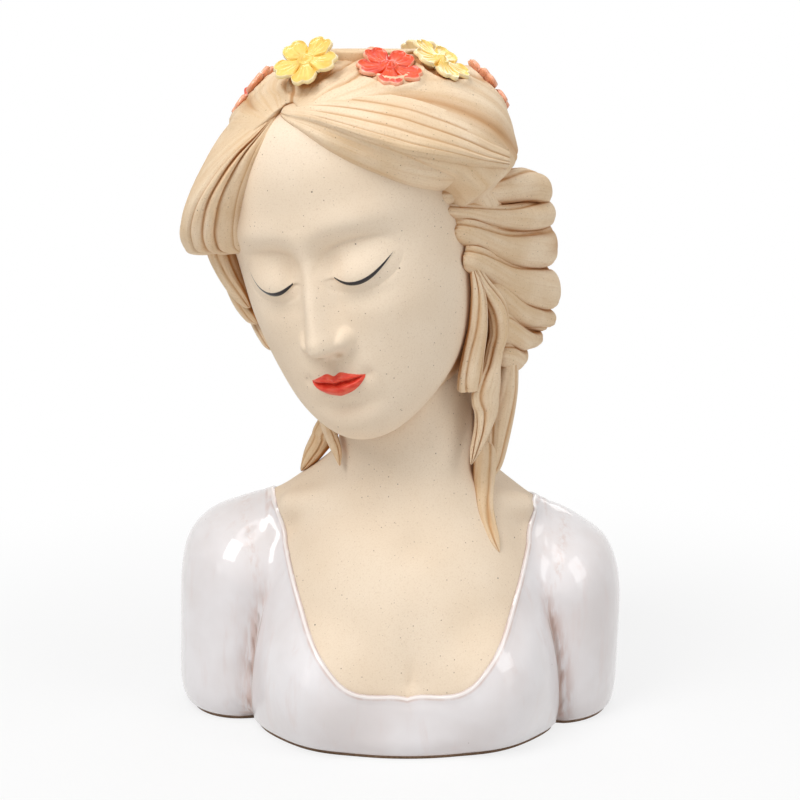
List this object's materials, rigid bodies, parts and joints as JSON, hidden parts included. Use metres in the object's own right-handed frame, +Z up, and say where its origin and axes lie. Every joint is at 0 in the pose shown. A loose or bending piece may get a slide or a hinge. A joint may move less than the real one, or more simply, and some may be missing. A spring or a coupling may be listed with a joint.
{
  "type": "head planter",
  "caption": "Ceramic planter in the shape of a woman's bust, with a hollow head open at the crown, swept hair, a wreath of flowers and a glazed blouse.",
  "frame": {"origin": "middle of the foot on the surface that the planter stands on, midway between the sleeves", "axes": "+Z up, -Y the way the figure's chest faces, +X to the figure's left"},
  "size_m": [0.1864, 0.1368, 0.2795],
  "materials": {
    "bisque_skin": "matte",
    "bisque_hair": "matte",
    "white_glaze": "gloss",
    "raw_foot": "matte",
    "orange_glaze": "gloss",
    "yellow_glaze": "gloss",
    "button_glaze": "gloss",
    "rubber": "matte"
  },
  "bodies": {
    "bust": {"chest_and_neck": "bisque_skin", "head_shell": "bisque_skin", "hair_cap": "bisque_hair", "mouth_rim": "bisque_hair", "fringe_left": "bisque_hair", "fringe_right": "bisque_hair", "under_wing": "bisque_hair", "curl_upper": "bisque_hair", "curl_lower": "bisque_hair", "side_roll_1": "bisque_hair", "side_roll_2": "bisque_hair", "side_roll_3": "bisque_hair", "side_roll_4": "bisque_hair", "side_roll_5": "bisque_hair", "side_roll_6": "bisque_hair", "side_roll_7": "bisque_hair", "nape_hair": "bisque_hair", "lock_left_front": "bisque_hair", "lock_left_inner": "bisque_hair", "lock_left_back": "bisque_hair", "lock_left_tip": "bisque_hair", "lock_back": "bisque_hair", "lock_right": "bisque_hair", "blouse_body": "white_glaze", "sleeve_left": "white_glaze", "sleeve_right": "white_glaze", "foot_ring": "raw_foot", "planter_floor": "raw_foot", "flower_1_petals": "orange_glaze", "flower_3_petals": "orange_glaze", "flower_5_petals": "orange_glaze", "flower_7_petals": "orange_glaze", "flower_9_petals": "orange_glaze", "flower_2_petals": "yellow_glaze", "flower_4_petals": "yellow_glaze", "flower_6_petals": "yellow_glaze", "flower_8_petals": "yellow_glaze", "flower_1_centre": "button_glaze", "flower_2_centre": "button_glaze", "flower_3_centre": "button_glaze", "flower_4_centre": "button_glaze", "flower_5_centre": "button_glaze", "flower_6_centre": "button_glaze", "flower_7_centre": "button_glaze", "flower_8_centre": "button_glaze", "flower_9_centre": "button_glaze"},
    "plug": {"drain_plug": "rubber"}
  },
  "joints": [
    {"name": "plug_lift", "type": "slide", "parent": "bust", "child": "plug", "axis": [0, 0, 1], "range_m": [0, 0.13]}
  ]
}
